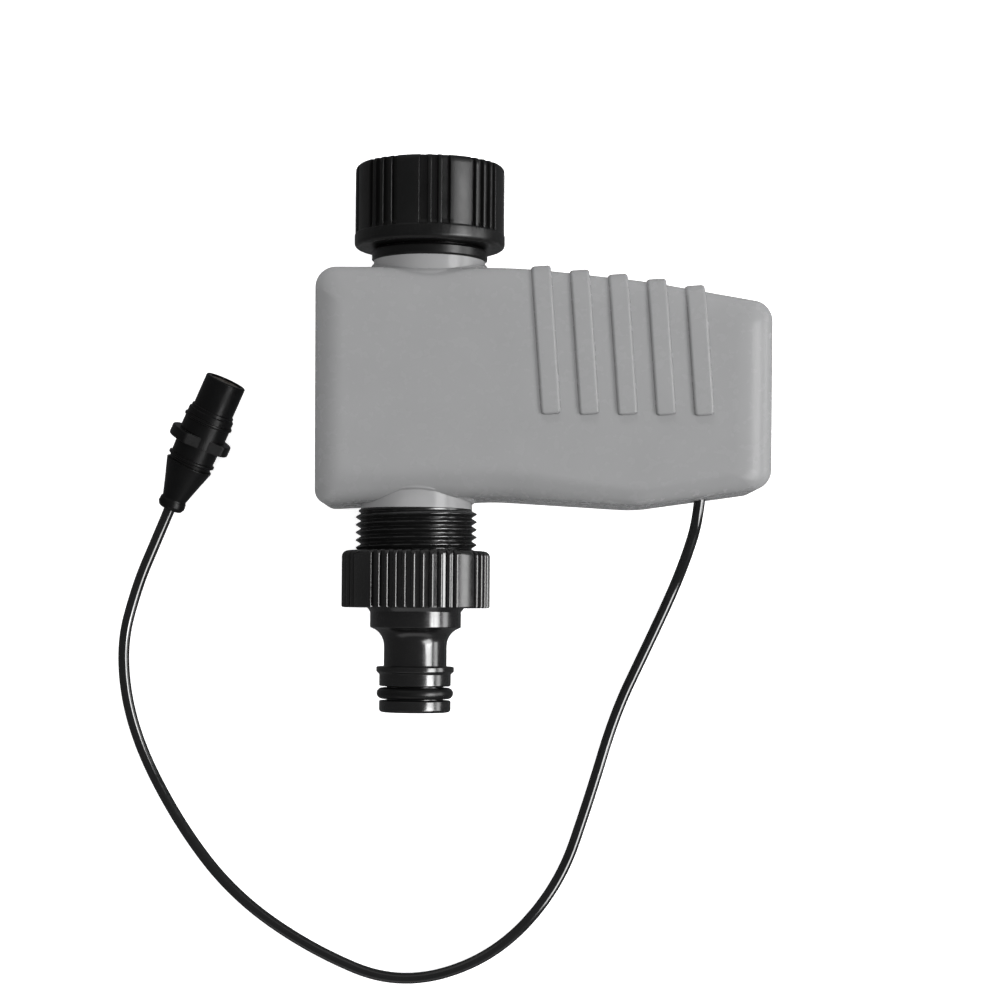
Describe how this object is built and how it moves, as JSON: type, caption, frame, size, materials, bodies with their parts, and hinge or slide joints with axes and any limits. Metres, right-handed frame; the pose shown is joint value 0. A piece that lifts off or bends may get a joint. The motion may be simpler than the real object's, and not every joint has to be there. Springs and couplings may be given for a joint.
{
  "type": "motorised tap valve",
  "caption": "Motor-driven ball valve for a garden tap: swivel inlet nut, gear housing to one side, hose quick-connector below and a short lead with a small plug.",
  "frame": {"origin": "on the flat back face, under the centre of the ball", "axes": "+X along the valve stem towards the motor, +Y up the water pipe to the inlet nut, +Z out of the front face; the valve lies on its back"},
  "size_m": [0.1443, 0.1811, 0.0353],
  "materials": {
    "shell": "moulded",
    "seal_rubber": "plain",
    "screw_steel": "plain",
    "neck": "moulded",
    "black_plastic": "moulded",
    "filter_steel": "plain",
    "seat_plastic": "moulded",
    "ball_steel": "plain",
    "brass": "plain",
    "plate_steel": "plain",
    "gear_plastic": "moulded",
    "switch_plastic": "moulded",
    "board": "moulded",
    "wire": "moulded",
    "cable_black": "plain",
    "plug_black": "plain"
  },
  "bodies": {
    "valve_housing": {"housing_front": "shell", "housing_back": "shell", "housing_seal": "seal_rubber", "housing_screws": "screw_steel", "valve_body": "neck", "neck_seals": "seal_rubber", "inlet_spigot": "black_plastic", "inlet_washer": "seal_rubber", "inlet_filter": "filter_steel", "outlet_thread": "black_plastic", "inlet_seat": "seat_plastic", "outlet_seat": "seat_plastic", "gland_bush": "brass", "gearbox_plate_inner": "plate_steel", "gearbox_plate_outer": "plate_steel", "gearbox_pillars": "plate_steel", "gearbox_screws": "screw_steel", "limit_switches": "switch_plastic", "second_idler_axle": "screw_steel", "first_idler_axle": "screw_steel", "gearhead_case": "plate_steel", "motor_can": "plate_steel", "motor_end_cap": "switch_plastic", "motor_terminals": "brass", "motor_screws": "screw_steel", "circuit_board": "board", "board_components": "switch_plastic", "inner_wires": "wire", "cable_grommet": "cable_black", "cable": "cable_black", "plug_boot": "plug_black", "plug_body": "plug_black", "plug_seal": "seal_rubber", "plug_insert": "switch_plastic", "plug_contacts": "brass"},
    "inlet_nut": {"inlet_nut": "black_plastic"},
    "valve_drive": {"ball": "ball_steel", "stem": "brass", "stem_orings": "seal_rubber", "output_gear": "gear_plastic", "position_cam": "gear_plastic"},
    "second_idler": {"second_idler": "gear_plastic"},
    "first_idler": {"first_idler": "gear_plastic"},
    "drive_pinion": {"drive_pinion": "brass", "gearhead_shaft": "screw_steel"},
    "adapter_washer": {"adapter_washer": "seal_rubber"},
    "hose_adapter": {"hose_adapter": "black_plastic", "nipple_oring": "seal_rubber"}
  },
  "joints": [
    {"name": "inlet_nut_spin", "type": "hinge", "parent": "valve_housing", "child": "inlet_nut", "pos_m": [0.0012, 0.04, 0.0185], "axis": [0, 1, 0], "continuous": true},
    {"name": "stem_turn", "type": "hinge", "parent": "valve_housing", "child": "valve_drive", "pos_m": [0, 0, 0.0185], "axis": [1, 0, 0], "range_deg": [0, 90]},
    {"name": "second_idler_spin", "type": "hinge", "parent": "valve_housing", "child": "second_idler", "pos_m": [0.026, 0.0124, 0.01627], "axis": [1, 0, 0], "range_deg": [-235, 0]},
    {"name": "first_idler_spin", "type": "hinge", "parent": "valve_housing", "child": "first_idler", "pos_m": [0.032, 0, 0.0185], "axis": [1, 0, 0], "range_deg": [0, 586]},
    {"name": "drive_pinion_spin", "type": "hinge", "parent": "valve_housing", "child": "drive_pinion", "pos_m": [0.034, -0.00924, 0.01351], "axis": [1, 0, 0], "range_deg": [-1873, 0]},
    {"name": "adapter_travel", "type": "slide", "parent": "valve_housing", "child": "adapter_washer", "axis": [0, -1, 0], "range_m": [0, 0.00836]},
    {"name": "adapter_unscrew", "type": "hinge", "parent": "adapter_washer", "child": "hose_adapter", "pos_m": [-0.0012, -0.04, 0.0185], "axis": [0, -1, 0], "range_deg": [0, 1800]}
  ],
  "couplings": [
    {"joint": "second_idler_spin", "follows": "stem_turn", "ratio": -2.6},
    {"joint": "first_idler_spin", "follows": "stem_turn", "ratio": 6.5},
    {"joint": "drive_pinion_spin", "follows": "stem_turn", "ratio": -20.8},
    {"joint": "adapter_travel", "follows": "adapter_unscrew", "m_per_rad": 0.00026579}
  ]
}
